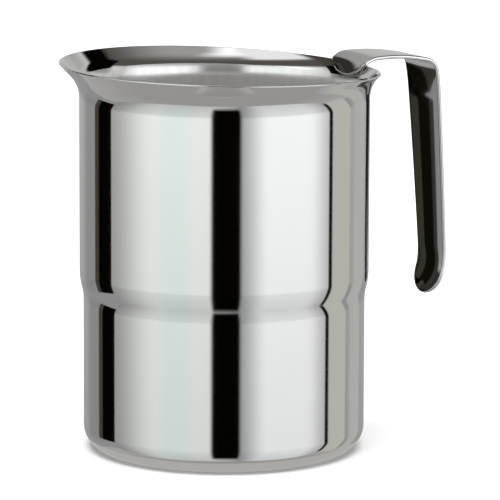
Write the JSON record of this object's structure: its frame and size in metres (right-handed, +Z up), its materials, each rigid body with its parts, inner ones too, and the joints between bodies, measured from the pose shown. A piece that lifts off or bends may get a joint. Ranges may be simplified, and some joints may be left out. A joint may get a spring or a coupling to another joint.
{
  "type": "melting jug",
  "caption": "Polished sheet-metal melting and pouring jug with a stepped wall, a slanting flared lip and an open strap handle welded inside the lip.",
  "frame": {"origin": "centre of the flat base, on the surface the jug stands on", "axes": "+Z up along the cup's axis, +X towards the handle, -X towards the tall pouring side of the lip"},
  "size_m": [0.1453, 0.1122, 0.1347],
  "materials": {
    "polished_steel": "mirror-polished stainless steel outside and on the lip, satin inside",
    "strap_steel": "mirror-polished stainless steel strap with rounded edges",
    "weld_metal": "dull fused stainless steel"
  },
  "bodies": {
    "root": {"cup": "polished_steel", "handle": "strap_steel", "handle_welds": "weld_metal"}
  },
  "joints": []
}
